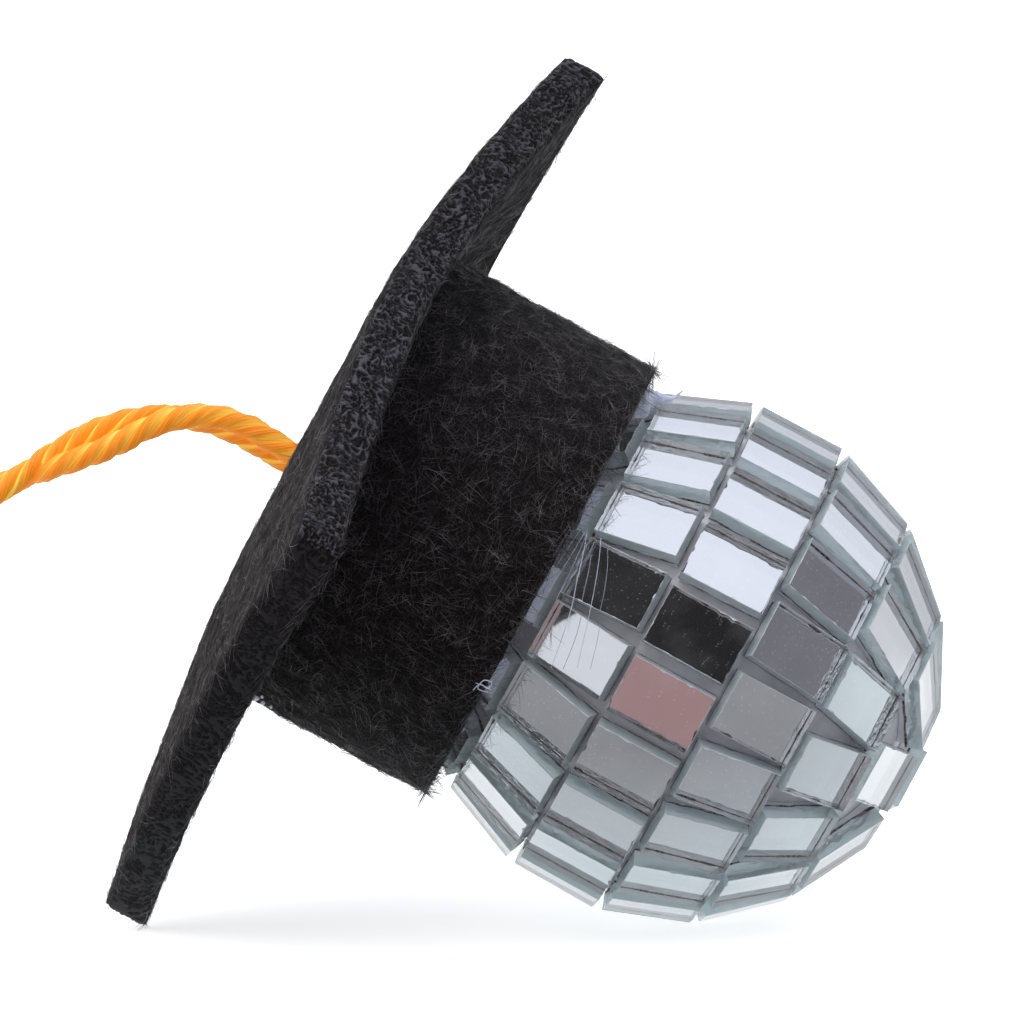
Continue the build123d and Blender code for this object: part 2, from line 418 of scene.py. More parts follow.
fibre, tree, bsdf = new_material("felt_fibre")
bsdf.inputs["Roughness"].default_value = 0.45
bsdf.inputs["Specular IOR Level"].default_value = 0.6
place = tree.nodes.new("ShaderNodeTexCoord")
shade = tree.nodes.new("ShaderNodeTexNoise")
shade.inputs["Scale"].default_value = 900
tint = tree.nodes.new("ShaderNodeValToRGB")
tint.color_ramp.elements[0].position = 0.35
tint.color_ramp.elements[0].color = (0.02, 0.0175, 0.0175, 1)
tint.color_ramp.elements[1].position = 0.7
tint.color_ramp.elements[1].color = (0.24, 0.225, 0.22, 1)
tree.links.new(place.outputs["Object"], shade.inputs["Vector"])
tree.links.new(shade.outputs["Fac"], tint.inputs["Fac"])
tree.links.new(tint.outputs["Color"], bsdf.inputs["Base Color"])

# ---------------------------------------------------------------- the cap's board
# A square of felt 43 mm wide and 2.8 mm thick. It has kept the curl of the roll it was cut from:
# two opposite edges hang about 2 mm, the other two stay level, and the corners hang 3 mm.
HOLE = np.array(joint["pos_m"] if "pos_m" in joint else joint["pos"], float)
HALF = 21.5
THICK = 2.8
ROUND = 1.5


def board_place(p1, p2, w):
    """A point of the board: p1 and p2 along its sides and w over its top, in mm."""
    u = (p1 + p2) / math.sqrt(2)
    v = (p2 - p1) / math.sqrt(2)
    return HOLE + (np.multiply.outer(u, ACROSS) + np.multiply.outer(v, SIDE) + np.multiply.outer(w, AXIS)) * MM


def smooth(x):
    x = np.clip(x, 0, 1)
    return x * x * (3 - 2 * x)


def board_drop(p1, p2, start):
    """How far the board hangs at this point, nothing inside the start radius round the band's middle."""
    s, t = p1 / HALF, p2 / HALF
    fold = np.abs(t - 0.12 * np.clip(-s, 0, 1)) / (1 + 0.12 * np.clip(-s, 0, 1) * np.sign(-t))
    hang = 2.15 * fold**1.5 + 0.15 * s * s + 0.6 * s * s * t * t
    band = np.hypot(p1 - 0.57, p2 - 0.57)
    return hang * smooth((band - start) / (HALF - start))


def felt_noise(points, scale, seed):
    return np.array([noise.noise(Vector(p) * scale + Vector((seed, 0, 0))) for p in np.asarray(points) / MM])


def board_wall(distance_in, fraction):
    """The board's outline at a height fraction from its top to its underside, drawn in by a distance."""
    half = HALF - distance_in
    corner = ROUND
    straight = half - corner
    step = 0.088
    run = np.arange(-straight, straight, step)
    turn = np.arange(0, math.pi / 2, step / corner)
    out = []
    for quarter in range(4):
        side_run = np.stack([np.full_like(run, half), run, np.zeros_like(run)], 1)
        arc = np.stack([straight + corner * np.cos(turn), straight + corner * np.sin(turn), turn], 1)
        ring = np.concatenate([side_run, arc])
        a = quarter * math.pi / 2
        c, k = math.cos(a), math.sin(a)
        out.append(np.stack([c * ring[:, 0] - k * ring[:, 1], k * ring[:, 0] + c * ring[:, 1], ring[:, 2] + a], 1))
    ring = np.concatenate(out)
    top = -board_drop(ring[:, 0], ring[:, 1], 7.0)
    low = -THICK - board_drop(ring[:, 0], ring[:, 1], 14.9)
    return ring, top + (low - top) * fraction


grid = 150
line = np.linspace(-1, 1, grid + 1)
p1, p2 = np.meshgrid(line * (HALF - 0.12), line * (HALF - 0.12), indexing="ij")
over1, over2 = np.abs(p1) - (HALF - 0.12 - ROUND), np.abs(p2) - (HALF - 0.12 - ROUND)
corner = (over1 > 0) & (over2 > 0)
shrink = np.where(corner, np.maximum(over1, over2) / np.maximum(np.hypot(over1, over2), 1e-9), 1)
p1 = np.where(corner, np.sign(p1) * (HALF - 0.12 - ROUND + over1 * shrink), p1).ravel()
p2 = np.where(corner, np.sign(p2) * (HALF - 0.12 - ROUND + over2 * shrink), p2).ravel()
radius = np.hypot(p1, p2)
pit = 1.25 * smooth((2.0 - radius) / 0.7)
edge_in = np.maximum(np.abs(p1), np.abs(p2))
soft = 0.22 * smooth((edge_in - (HALF - 0.6)) / 0.5)
flat_points = board_place(p1, p2, np.zeros_like(p1))
lumps = 0.10 * felt_noise(flat_points, 0.5, 3.0) + 0.035 * felt_noise(flat_points, 2.1, 8.0)
top_points = board_place(p1, p2, -board_drop(p1, p2, 7.0) - pit - soft + lumps)
low_lumps = 0.05 * felt_noise(flat_points, 1.2, 21.0) * smooth((np.hypot(p1 - 0.57, p2 - 0.57) - 15.0) / 1.0)
low_points = board_place(p1, p2, -THICK - board_drop(p1, p2, 14.9) + pit + soft + low_lumps)
verts = [tuple(p) for p in top_points] + [tuple(p) for p in low_points]
count = grid + 1
faces = []
for i in range(grid):
    for j in range(grid):
        a, b, c, d = i * count + j, (i + 1) * count + j, (i + 1) * count + j + 1, i * count + j + 1
        faces.append((a, b, c, d))
        faces.append(tuple(k + count * count for k in (d, c, b, a)))
border = [i * count for i in range(grid)] + [grid * count + j for j in range(grid)]
border += [(grid - i) * count + grid for i in range(grid)] + [grid - j for j in range(grid)]
for k in range(len(border)):
    a, b = border[k], border[(k + 1) % len(border)]
    faces.append((b, a, a + count * count, b + count * count))
mesh = bpy.data.meshes.new("hat_board_felt")
mesh.from_pydata(verts, [], faces)
mesh.materials.append(felt)
mesh.polygons.foreach_set("use_smooth", [True] * len(mesh.polygons))
board = bpy.data.objects.new("hat_board_felt", mesh)
scene.collection.objects.link(board)

# The cut edge: a fine band of mesh round the board whose pores are really sunk in.
rows = 30
ring, _ = board_wall(0.0, 0.0)
outward = np.stack([np.cos(ring[:, 2]), np.sin(ring[:, 2])], 1)
verts, pores = [], []
for r in range(rows + 1):
    fraction = r / rows
    tuck = 0.30 * abs(2 * fraction - 1) ** 7
    _, height = board_wall(0.0, fraction)
    base = board_place(ring[:, 0], ring[:, 1], height)
    cells = []
    for p, facing in zip(base / MM, ring[:, 2]):
        patch = noise.noise(Vector(p) * 0.3)
        sway = noise.noise_vector(Vector(p) * 2.2) * 0.16
        near = noise.voronoi((Vector(p) + sway) * (1.55 + 0.5 * patch))[0]
        fine_near = noise.voronoi((Vector(p) + sway) * 2.9)[0]
        big = min(max((near[1] - near[0] - 0.07) / 0.20, 0), 1)
        small = min(max((fine_near[1] - fine_near[0] - 0.07) / 0.22, 0), 1)
        whole = min(max(0.9 + 1.6 * noise.noise(Vector(p) * 0.45 + Vector((7, 0, 0))), 0), 1)
        hole = big * whole + small * (1 - whole)
        # The edge facing the board's negative p2 side is held at least at 0.45, so it is sunk and darker all along.
        if math.cos(facing + math.pi / 2) > 0.7:
            hole = max(hole, 0.45)
        cells.append(hole)
    cells = np.array(cells)
    rough = 0.03 * np.array([noise.noise(Vector(p) * 6.0) for p in base / MM])
    move = -tuck - 0.20 * cells * (1 - 0.8 * abs(2 * fraction - 1) ** 6) + 0.03 + rough
    height = height - (0.10 if fraction == 0 else -0.10 if fraction == 1 else 0.0)
    pts = board_place(ring[:, 0] + outward[:, 0] * move, ring[:, 1] + outward[:, 1] * move, height)
    verts += [tuple(p) for p in pts]
    pores += list(cells)
n = len(ring)
faces = [(r * n + k, (r + 1) * n + k, (r + 1) * n + (k + 1) % n, r * n + (k + 1) % n) for r in range(rows) for k in range(n)]
mesh = bpy.data.meshes.new("hat_board_cut_edge")
mesh.from_pydata(verts, [], faces)
mesh.materials.append(felt_cut)
mesh.polygons.foreach_set("use_smooth", [True] * len(mesh.polygons))
layer = mesh.attributes.new("pore_shade", "FLOAT", "POINT")
layer.data.foreach_set("value", pores)
board_edge = bpy.data.objects.new("hat_board_cut_edge", mesh)
scene.collection.objects.link(board_edge)

# ---------------------------------------------------------------- the cap's band
# A strip of the same felt 14 mm wide, glued into a ring round the top of the ball.
around, tall, wall = 420, 60, 10
BAND_R, BAND_IN, BAND_LOW, BAND_TOP = 14.75, 13.05, 9.749, 23.70
profile = [(BAND_R, BAND_LOW + 0.28 + (BAND_TOP - BAND_LOW - 0.28) * k / tall) for k in range(tall, -1, -1)]
profile += [(BAND_R - 0.09, BAND_LOW + 0.09), (BAND_R - 0.3, BAND_LOW + 0.0)]
profile += [(BAND_R - 0.3 - (BAND_R - BAND_IN - 0.5) * k / 5, BAND_LOW) for k in range(1, 6)]
profile += [(BAND_IN + 0.05, BAND_LOW + 0.06), (BAND_IN, BAND_LOW + 0.2)]
profile += [(BAND_IN, BAND_LOW + 0.2 + (BAND_TOP - BAND_LOW - 0.2) * k / 12) for k in range(1, 13)]
profile = np.array(profile)
angle = np.arange(around) * 2 * math.pi / around
verts = []
for radius_here, height in profile:
    spot = CENTRE + (np.multiply.outer(np.cos(angle), ACROSS) + np.multiply.outer(np.sin(angle), SIDE)) * radius_here * MM
    spot = spot + AXIS * height * MM
    bumps = felt_noise(spot, 0.6, 5.0) * 0.12 + felt_noise(spot, 2.4, 2.0) * 0.05
    bumps = bumps * min((BAND_TOP - height) / 1.0, 1.0)
    if radius_here < BAND_R - 0.05:
        bumps = bumps * 0.0
    hem = 0.09 * felt_noise(spot, 0.9, 14.0) if height < BAND_LOW + 0.3 else 0 * bumps
    out_dir = np.multiply.outer(np.cos(angle), ACROSS) + np.multiply.outer(np.sin(angle), SIDE)
    verts += [tuple(p) for p in spot + out_dir * bumps[:, None] * MM + np.multiply.outer(np.abs(hem), AXIS) * MM]
m = len(profile)
faces = []
for r in range(m):
    for k in range(around):
        a, b = r * around + k, r * around + (k + 1) % around
        c, d = ((r + 1) % m) * around + (k + 1) % around, ((r + 1) % m) * around + k
        faces.append((a, b, c, d))
mesh = bpy.data.meshes.new("hat_band_felt")
mesh.from_pydata(verts, [], faces)
mesh.materials.append(felt)
mesh.polygons.foreach_set("use_smooth", [True] * len(mesh.polygons))
band = bpy.data.objects.new("hat_band_felt", mesh)
scene.collection.objects.link(band)

# ---------------------------------------------------------------- loose felt fibres
# Pale fibres lie over the felt in all directions and a few stand off it. One node group scatters
# a handful of bent fibre shapes over a piece of felt.
fibre_shapes = []
rng = np.random.default_rng(11)
for number in range(9):
    bend, hook = rng.uniform(-0.34, 0.34), rng.uniform(-0.22, 0.22)
    pts = []
    for k in range(5):
        x = k / 4 * 2 - 1
        pts.append((1.55 * x, bend * x * x + hook * x**3, 0.035 * (1 - x * x) - 0.01))
    pts = np.array(pts) * MM
    verts, faces = [], []
    for k, p in enumerate(pts):
        thick = 0.0145 * MM * (0.45 if k in (0, 4) else 1.0)
        verts += [tuple(p + thick * np.array((0, math.cos(a), math.sin(a)))) for a in (0.3, 2.4, 4.5)]
    for k in range(4):
        faces += [(3 * k + j, 3 * k + 3 + j, 3 * k + 3 + (j + 1) % 3, 3 * k + (j + 1) % 3) for j in range(3)]
    faces += [(2, 1, 0), (12, 13, 14)]
    shape_mesh = bpy.data.meshes.new("fibre_shape_%d" % number)
    shape_mesh.from_pydata(verts, [], [tuple(reversed(f)) for f in faces])
    fibre_shapes.append(bpy.data.objects.new("fibre_shape_%d" % number, shape_mesh))

scatter = bpy.data.node_groups.new("felt_fibres", "GeometryNodeTree")
scatter.interface.new_socket("Felt", in_out="INPUT", socket_type="NodeSocketGeometry")
for label, kind, start in (("Fibres per m2", "NodeSocketFloat", 3e6), ("Seed", "NodeSocketInt", 1), ("Stand off", "NodeSocketFloat", 0.1), ("Shortest", "NodeSocketFloat", 0.5), ("Longest", "NodeSocketFloat", 1.5)):
    scatter.interface.new_socket(label, in_out="INPUT", socket_type=kind).default_value = start
scatter.interface.new_socket("Fibres", in_out="OUTPUT", socket_type="NodeSocketGeometry")
given = scatter.nodes.new("NodeGroupInput")
result = scatter.nodes.new("NodeGroupOutput")
spread = scatter.nodes.new("GeometryNodeDistributePointsOnFaces")
scatter.links.new(given.outputs["Felt"], spread.inputs["Mesh"])
scatter.links.new(given.outputs["Fibres per m2"], spread.inputs["Density"])
scatter.links.new(given.outputs["Seed"], spread.inputs["Seed"])
choices = scatter.nodes.new("GeometryNodeJoinGeometry")
for shape_object in fibre_shapes:
    info = scatter.nodes.new("GeometryNodeObjectInfo")
    info.inputs["Object"].default_value = shape_object
    wrap = scatter.nodes.new("GeometryNodeGeometryToInstance")
    scatter.links.new(info.outputs["Geometry"], wrap.inputs["Geometry"])
    scatter.links.new(wrap.outputs["Instances"], choices.inputs["Geometry"])


def random_vector(low, high, offset):
    node = scatter.nodes.new("FunctionNodeRandomValue")
    node.data_type = "FLOAT_VECTOR"
    shift = scatter.nodes.new("ShaderNodeMath")
    shift.inputs[1].default_value = offset
    scatter.links.new(given.outputs["Seed"], shift.inputs[0])
    scatter.links.new(shift.outputs[0], node.inputs["Seed"])
    for side_name, value in (("Min", low), ("Max", high)):
        if value is not None:
            node.inputs[side_name].default_value = value
    return node


spin = random_vector((0, 0, -math.pi), (0, 0, math.pi), 1)
lift = random_vector((0, -1, 0), (0, 1, 0), 2)
lift_scale = scatter.nodes.new("ShaderNodeVectorMath")
lift_scale.operation = "SCALE"
scatter.links.new(lift.outputs[0], lift_scale.inputs[0])
scatter.links.new(given.outputs["Stand off"], lift_scale.inputs["Scale"])
sizes = random_vector((0, 0, 0), (1, 1, 1), 3)
grow = scatter.nodes.new("ShaderNodeMapRange")
grow.data_type = "FLOAT_VECTOR"
scatter.links.new(sizes.outputs[0], grow.inputs["Vector"])
for socket_name, wanted in (("To_Min_FLOAT3", "Shortest"), ("To_Max_FLOAT3", "Longest")):
    target = next(i for i in grow.inputs if i.identifier == socket_name)
    scatter.links.new(given.outputs[wanted], target)
turn_one = scatter.nodes.new("FunctionNodeRotateRotation")
turn_one.rotation_space = "LOCAL"
turn_two = scatter.nodes.new("FunctionNodeRotateRotation")
turn_two.rotation_space = "LOCAL"
scatter.links.new(spread.outputs["Rotation"], turn_one.inputs["Rotation"])
scatter.links.new(spin.outputs[0], turn_one.inputs["Rotate By"])
scatter.links.new(turn_one.outputs["Rotation"], turn_two.inputs["Rotation"])
scatter.links.new(lift_scale.outputs["Vector"], turn_two.inputs["Rotate By"])
plant = scatter.nodes.new("GeometryNodeInstanceOnPoints")
plant.inputs["Pick Instance"].default_value = True
scatter.links.new(spread.outputs["Points"], plant.inputs["Points"])
scatter.links.new(choices.outputs["Geometry"], plant.inputs["Instance"])
scatter.links.new(turn_two.outputs["Rotation"], plant.inputs["Rotation"])
scatter.links.new(grow.outputs["Vector"], plant.inputs["Scale"])
real = scatter.nodes.new("GeometryNodeRealizeInstances")
paint = scatter.nodes.new("GeometryNodeSetMaterial")
paint.inputs["Material"].default_value = fibre
scatter.links.new(plant.outputs["Instances"], real.inputs["Geometry"])
scatter.links.new(real.outputs["Geometry"], paint.inputs["Geometry"])
scatter.links.new(paint.outputs["Geometry"], result.inputs["Fibres"])


def grow_fibres(name, ground, per_mm2, seed, stand_off, shortest, longest):
    host = bpy.data.objects.new(name + "_host", ground)
    scene.collection.objects.link(host)
    modifier = host.modifiers.new("fibres", "NODES")
    modifier.node_group = scatter
    wanted = {"Fibres per m2": per_mm2 * 1e6, "Seed": seed, "Stand off": stand_off, "Shortest": shortest, "Longest": longest}
    for item in scatter.interface.items_tree:
        if item.item_type == "SOCKET" and item.in_out == "INPUT" and item.name in wanted:
            modifier[item.identifier] = wanted[item.name]
    bpy.context.view_layer.update()
    baked = bpy.data.meshes.new_from_object(host.evaluated_get(bpy.context.evaluated_depsgraph_get()))
    baked.name = name
    made = bpy.data.objects.new(name, baked)
    scene.collection.objects.link(made)
    bpy.data.objects.remove(host)
    return made


outer = [p for p in band.data.polygons if p.index < (tall + 3) * around]
band_skin = bpy.data.meshes.new("band_skin")
band_skin.from_pydata([v.co[:] for v in band.data.vertices], [], [tuple(p.vertices) for p in outer])
top_skin = bpy.data.meshes.new("top_skin")
top_skin.from_pydata([v.co[:] for v in board.data.vertices], [], [tuple(p.vertices) for p in board.data.polygons if p.index < 2 * grid * grid and p.index % 2 == 0])
low_faces = []
for p in board.data.polygons:
    if p.index < 2 * grid * grid and p.index % 2 == 1:
        off = np.array(p.center) - CENTRE
        flat = off - AXIS * (off @ AXIS)
        if np.linalg.norm(flat) > 14.6 * MM:
            low_faces.append(tuple(p.vertices))
low_skin = bpy.data.meshes.new("low_skin")
low_skin.from_pydata([v.co[:] for v in board.data.vertices], [], low_faces)
band_layers = [
    grow_fibres("band_fibres_first", band_skin, 5.4, 3, 0.03, 0.45, 1.15),
    grow_fibres("band_fibres_second", band_skin, 5.4, 4, 0.04, 0.4, 1.5),
    grow_fibres("band_stray_fibres", band_skin, 0.45, 13, 0.18, 0.2, 0.5),
]
board_layers = [
    grow_fibres("board_top_fibres", top_skin, 3.6, 5, 0.04, 0.4, 1.25),
    grow_fibres("board_under_fibres", low_skin, 5.5, 7, 0.05, 0.4, 1.25),
    grow_fibres("board_edge_fibres", board_edge.data, 1.5, 9, 0.2, 0.10, 0.3),
    grow_fibres("board_stray_fibres", top_skin, 0.45, 15, 0.25, 0.2, 0.5),
    grow_fibres("board_under_stray_fibres", low_skin, 0.7, 17, 0.25, 0.2, 0.5),
]
for made in [board, board_edge, band] + band_layers + board_layers:
    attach(made, "ball_and_cap")
for made in [board, board_edge] + board_layers:
    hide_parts("hat_board")
for made in [band] + band_layers:
    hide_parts("hat_band")

# ---------------------------------------------------------------- hot melt glue
# The cap is held with a hot glue gun: an uneven bead inside the band's rim, a blob squeezed out at
# its top with a pulled tail, thin strings across two tiles and a few drops under the board.
melt, tree, bsdf = new_material("hot_melt")
bsdf.inputs["Base Color"].default_value = (0.80, 0.84, 0.97, 1)
bsdf.inputs["Roughness"].default_value = 0.22
bsdf.inputs["Transmission Weight"].default_value = 0.25
bsdf.inputs["IOR"].default_value = 1.48
# The glue glows faintly by emission: painted light that keeps its thin strings bright over the dark tiles.
bsdf.inputs["Emission Color"].default_value = (0.85, 0.9, 1.0, 1)
bsdf.inputs["Emission Strength"].default_value = 0.12
cloud = tree.nodes.new("ShaderNodeTexNoise")
cloud.inputs["Scale"].default_value = 1500
cloud.inputs["Detail"].default_value = 3
place = tree.nodes.new("ShaderNodeTexCoord")
tint = tree.nodes.new("ShaderNodeValToRGB")
tint.color_ramp.elements[0].position = 0.3
tint.color_ramp.elements[0].color = (0.50, 0.55, 0.80, 1)
tint.color_ramp.elements[1].position = 0.7
tint.color_ramp.elements[1].color = (0.93, 0.95, 1.0, 1)
bump = tree.nodes.new("ShaderNodeBump")
bump.inputs["Strength"].default_value = 0.5
bump.inputs["Distance"].default_value = 0.00015
tree.links.new(place.outputs["Object"], cloud.inputs["Vector"])
tree.links.new(cloud.outputs["Fac"], tint.inputs["Fac"])
tree.links.new(tint.outputs["Color"], bsdf.inputs["Base Color"])
tree.links.new(cloud.outputs["Fac"], bump.inputs["Height"])
tree.links.new(bump.outputs["Normal"], bsdf.inputs["Normal"])


def tube(points, radii, sides, closed=False, lumps=0.0):
    """A tube through points in mm: a list of vertices and faces, with its ends capped."""
    points = np.asarray(points, float)
    ahead = np.roll(points, -1, 0) - np.roll(points, 1, 0) if closed else np.gradient(points, axis=0)
    ahead /= np.linalg.norm(ahead, axis=1)[:, None]
    first = np.cross(ahead, (0.31, 0.9, 0.2))
    first /= np.linalg.norm(first, axis=1)[:, None]
    second = np.cross(ahead, first)
    verts, faces = [], []
    count = len(points)
    for k in range(count):
        for j in range(sides):
            a = 2 * math.pi * j / sides
            p = points[k] + (first[k] * math.cos(a) + second[k] * math.sin(a)) * radii[k]
            if lumps:
                p = p + (p - points[k]) * lumps * noise.noise(Vector(p) * 1.1)
            verts.append(tuple(p * MM))
    for k in range(count if closed else count - 1):
        m = (k + 1) % count
        for j in range(sides):
            i = (j + 1) % sides
            faces.append((k * sides + j, k * sides + i, m * sides + i, m * sides + j))
    if not closed:
        faces.append(tuple(reversed(range(sides))))
        faces.append(tuple((count - 1) * sides + j for j in range(sides)))
    return verts, faces


def soft_line(points, pieces=8):
    """Points in mm joined by a smooth run (Catmull-Rom)."""
    pts = np.asarray(points, float)
    pts = np.concatenate([[2 * pts[0] - pts[1]], pts, [2 * pts[-1] - pts[-2]]])
    out = []
    for a, b, c, d in zip(pts, pts[1:], pts[2:], pts[3:]):
        for t in np.arange(pieces) / pieces:
            out.append(0.5 * (2 * b + (c - a) * t + (2 * a - 5 * b + 4 * c - d) * t * t + (3 * b - a - 3 * c + d) * t**3))
    out.append(pts[-2])
    return np.array(out)


def glue_piece(name, node, parts):
    verts, faces = [], []
    for part_verts, part_faces in parts:
        faces += [tuple(i + len(verts) for i in f) for f in part_faces]
        verts += part_verts
    mesh = bpy.data.meshes.new(name)
    mesh.from_pydata(verts, [], faces)
    mesh.materials.append(melt)
    mesh.polygons.foreach_set("use_smooth", [len(p.vertices) == 4 for p in mesh.polygons])
    made = bpy.data.objects.new(name, mesh)
    scene.collection.objects.link(made)
    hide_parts(node)
    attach(made, "ball_and_cap")
    return made


turns = np.arange(240) * 2 * math.pi / 240
bead_radius = 12.35 + 0.12 * np.sin(5 * turns) + 0.08 * np.sin(11 * turns + 1)
bead_height = 11.75 + 0.15 * np.sin(3 * turns + 2) + 0.1 * np.sin(8 * turns)
bead = CENTRE / MM + np.multiply.outer(np.cos(turns) * bead_radius, ACROSS) + np.multiply.outer(np.sin(turns) * bead_radius, SIDE) + np.multiply.outer(bead_height, AXIS)
parts = [tube(bead, 0.48 + 0.12 * np.sin(7 * turns) + 0.06 * np.sin(17 * turns), 10, closed=True, lumps=0.3)]
blob_line = soft_line([(7.2, -2.2, 31.0), (7.75, -2.2, 31.75), (8.35, -2.1, 32.2), (8.9, -2.1, 32.25), (9.6, -2.0, 32.35), (10.25, -1.85, 32.75)], 8)
blob_size = np.interp(np.linspace(0, 1, len(blob_line)), [0, 0.12, 0.35, 0.55, 0.72, 0.9, 1], [0.2, 0.5, 0.62, 0.36, 0.2, 0.1, 0.03])
parts.append(tube(blob_line, blob_size, 14, lumps=0.9))
blob_line = soft_line([(7.3, 0.4, 31.6), (7.9, 0.2, 32.3), (8.4, 0.0, 32.6)], 8)
parts.append(tube(blob_line, np.interp(np.linspace(0, 1, len(blob_line)), [0, 0.5, 1], [0.3, 0.55, 0.15]), 14, lumps=0.9))
for line_points, thick in (
    ([(4.67, -12.37, 25.3), (4.43, -13.1, 24.06), (4.07, -13.71, 22.64), (3.76, -14.17, 21.21), (3.19, -14.43, 19.46), (2.43, -14.38, 17.49)], 0.024),
    ([(5.52, -12.87, 25.04), (5.4, -13.59, 23.8), (5.16, -14.22, 22.38), (4.84, -14.68, 20.89), (4.46, -14.97, 19.32), (4.01, -15.07, 17.54)], 0.019),
    ([(4.55, -12.34, 25.36), (3.5, -12.95, 23.7), (2.3, -13.25, 21.91)], 0.014),
    ([(4.73, -12.37, 25.42), (3.85, -13.2, 23.5), (2.79, -13.69, 21.47)], 0.012),
    ([(4.25, -12.14, 25.46), (3.15, -12.7, 23.9), (2.18, -12.98, 22.36)], 0.011),
    ([(-2.29, -13.71, 16.17), (-1.85, -13.93, 16.55), (-1.44, -14.0, 16.3), (-1.13, -14.09, 16.62), (-1.6, -14.2, 16.8), (-1.98, -14.0, 16.3), (-1.39, -14.05, 16.05)], 0.03),
    ([(-2.1, -13.8, 16.6), (-1.6, -14.15, 16.45), (-1.2, -14.1, 16.2)], 0.028),
):
    run_line = soft_line(line_points, 10)
    parts.append(tube(run_line, np.full(len(run_line), thick), 6))
glue_piece("rim_hot_melt", "rim_glue", parts)

corner_radius = 12.1 + 0.1 * np.sin(6 * turns)
corner = CENTRE / MM + np.multiply.outer(np.cos(turns) * corner_radius, ACROSS) + np.multiply.outer(np.sin(turns) * corner_radius, SIDE) + np.multiply.outer(23.05 + 0 * turns, AXIS)
parts = [tube(corner, 0.5 + 0.1 * np.sin(9 * turns), 10, closed=True, lumps=0.3)]
for spot, size in (((-16.0, -5.28, 14.85), 0.16), ((-15.61, -4.97, 14.5), 0.12), ((-15.12, -5.07, 14.26), 0.1), ((-15.56, -6.15, 15.02), 0.09)):
    drop_line = soft_line([np.array(spot) + (0, 0, -size), np.array(spot), np.array(spot) + (0.05, 0, size)], 4)
    parts.append(tube(drop_line, [size * v for v in (0.15, 0.6, 0.85, 1.0, 1.0, 1.0, 0.85, 0.6, 0.15)], 8, lumps=0.6))
glue_piece("board_hot_melt", "board_glue", parts)

# ---------------------------------------------------------------- the cord
# One golden cord 1.4 mm thick, doubled out of the board's hole. The two legs twist once round each
# other where they leave the cap, then hang down to the table as an open loop.
leg_one = [
    (-11.794, -0.5, 27.9),
    (-14.3, -0.55, 29.6),
    (-16.9, -0.65, 31.35),
    (-19.6, -0.7, 31.85),
    (-22.3, -0.72, 31.2),
    (-24.9, -0.7, 29.85),
    (-27.6, -0.5, 28.95),
    (-30.4, 0.25, 28.1),
    (-33.6, 1.0, 26.9),
    (-40.5, 1.6, 22.0),
    (-46.8, 2.4, 13.2),
    (-51.5, 3.4, 0.9),
    (-62.0, 5.0, 0.8),
    (-71.5, 7.0, 0.9),
    (-79.5, 4.35, 0.8),
]
leg_two = [
    (-79.5, -4.35, 0.8),
    (-71.5, -7.0, 0.9),
    (-62.0, -5.0, 0.8),
    (-51.5, -3.4, 0.9),
    (-46.8, -2.4, 13.2),
    (-40.5, -1.6, 22.0),
    (-33.2, -1.0, 26.4),
    (-30.0, -0.35, 28.45),
    (-27.0, 0.5, 30.4),
    (-24.3, 0.72, 31.35),
    (-21.6, 0.75, 31.65),
    (-19.0, 0.72, 31.25),
    (-16.6, 0.65, 30.2),
    (-14.3, 0.5, 28.7),
    (-12.15, 0.5, 27.35),
]
curve = bpy.data.curves.new("cord_line", "CURVE")
curve.dimensions = "3D"
curve.resolution_u = 24
spline = curve.splines.new("NURBS")
spline.points.add(len(leg_one) + len(leg_two) - 1)
for point, where in zip(spline.points, leg_one + leg_two):
    point.co = (where[0] * MM, where[1] * MM, where[2] * MM, 1)
spline.order_u = 3
spline.use_endpoint_u = True
line_object = bpy.data.objects.new("cord_line", curve)
line_mesh = bpy.data.meshes.new_from_object(line_object)
path = np.array([v.co[:] for v in line_mesh.vertices])
bpy.data.objects.remove(line_object)
gap = np.linalg.norm(np.diff(path, axis=0), axis=1)
path = path[np.concatenate([[True], gap > 1e-7])]
run = np.concatenate([[0], np.cumsum(np.linalg.norm(np.diff(path, axis=0), axis=1))])
steps = int(run[-1] / (0.2 * MM))
even = np.linspace(0, run[-1], steps)
centre_line = np.stack([np.interp(even, run, path[:, i]) for i in range(3)], 1)
tangent = np.gradient(centre_line, axis=0)
tangent /= np.linalg.norm(tangent, axis=1)[:, None]
normal = np.zeros_like(tangent)
normal[0] = np.cross(tangent[0], (0, 1, 0))
for k in range(1, steps):
    normal[k] = normal[k - 1] - tangent[k] * (normal[k - 1] @ tangent[k])
    normal[k] /= np.linalg.norm(normal[k])
normal[0] /= np.linalg.norm(normal[0])
binormal = np.cross(tangent, normal)
SIDES, LAY, CORD_R = 60, 5.4 * MM, 0.71 * MM
turn = np.arange(SIDES) * 2 * math.pi / SIDES
phase = -2 * math.pi * even / LAY
near = np.abs((turn * 3 + math.pi) % (2 * math.pi) - math.pi) / 3
crown = 1 - 0.24 * np.exp(-((near / 0.19) ** 2)) - 0.045 * np.cos(3 * turn)
verts, faces, uvs = [], [], []
for k in range(steps):
    a = turn + phase[k]
    loose = noise.noise(Vector((even[k] / MM * 0.9, 3.0, 0.0))) * 0.10
    strands_out = 0.028 * np.sin(19 * turn + even[k] / MM * 0.8) + 0.02 * np.sin(33 * turn - even[k] / MM * 1.3)
    wave = 1 + loose + strands_out + 0.03 * np.sin(5 * turn + even[k] / MM * 1.9)
    ring = (np.multiply.outer(np.cos(a), normal[k]) + np.multiply.outer(np.sin(a), binormal[k])) * (CORD_R * crown * wave)[:, None]
    verts += [tuple(p) for p in centre_line[k] + ring]
